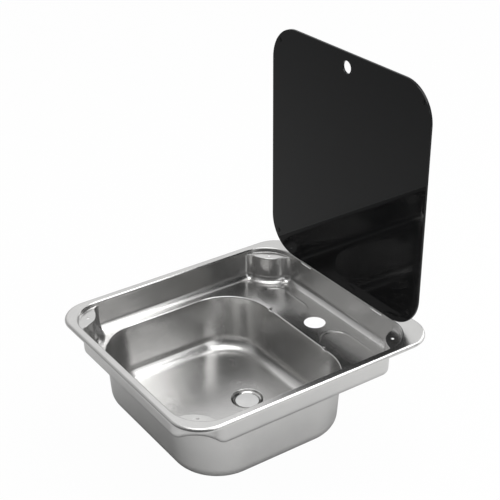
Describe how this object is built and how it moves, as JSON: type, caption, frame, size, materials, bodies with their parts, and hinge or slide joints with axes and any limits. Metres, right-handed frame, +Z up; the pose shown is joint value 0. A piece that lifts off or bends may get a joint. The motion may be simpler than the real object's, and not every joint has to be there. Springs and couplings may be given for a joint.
{
  "type": "rv sink with glass lid",
  "caption": "Rectangular stainless sink bowl with a tap ledge, corner shelves, a waste plug and a hinged smoked glass lid that folds down into the rim.",
  "frame": {"origin": "centre of the cut-out, in the plane of the worktop top that the flange seals on", "axes": "+Z up, +Y from the front of the sink towards the lid hinges, +X to the right as seen from the front"},
  "size_m": [0.4, 0.445, 0.6024],
  "materials": {
    "pressing": "satin stainless steel",
    "smoked_glass": "dark toughened glass, polished",
    "bright_steel": "polished stainless steel",
    "clear_rubber": "clear soft plastic",
    "black_rubber": "matt",
    "black_plastic": "fine grain",
    "pale_plastic": "satin",
    "foam": "closed-cell foam"
  },
  "bodies": {
    "sink": {"sink_pressing": "pressing", "flange_sealing_strip": "foam", "bracket_nut_1": "bright_steel", "bracket_nut_2": "bright_steel", "bracket_nut_3": "bright_steel", "bracket_nut_4": "bright_steel", "bracket_washer_1": "bright_steel", "bracket_washer_2": "bright_steel", "bracket_washer_3": "bright_steel", "bracket_washer_4": "bright_steel", "hinge_bracket_left": "bright_steel", "hinge_bracket_right": "bright_steel", "hinge_pin_left": "bright_steel", "hinge_pin_right": "bright_steel", "hinge_washer_left_a": "bright_steel", "hinge_washer_left_b": "bright_steel", "hinge_washer_right_a": "bright_steel", "hinge_washer_right_b": "bright_steel", "waste_back_nut": "black_plastic", "waste_hose_spigot": "black_plastic", "waste_insert": "bright_steel", "waste_lower_seal": "black_rubber", "waste_union_nut": "black_plastic", "waste_union_seal": "black_rubber", "waste_upper_seal": "black_rubber"},
    "lid": {"glass_lid": "smoked_glass", "hinge_leaf_left": "bright_steel", "hinge_leaf_right": "bright_steel", "lid_buffer_front_left": "clear_rubber", "lid_buffer_front_right": "clear_rubber", "lid_buffer_rear_left": "clear_rubber", "lid_buffer_rear_right": "clear_rubber"},
    "plug": {"waste_plug": "pale_plastic", "waste_plug_ring": "black_rubber"}
  },
  "joints": [
    {"name": "lid_hinge", "type": "hinge", "parent": "sink", "child": "lid", "pos_m": [0, 0.19355, 0.00305], "axis": [1, 0, 0], "range_deg": [0, 90]},
    {"name": "plug_lift", "type": "slide", "parent": "sink", "child": "plug", "axis": [0, 0, 1], "range_m": [0, 0.01]}
  ]
}
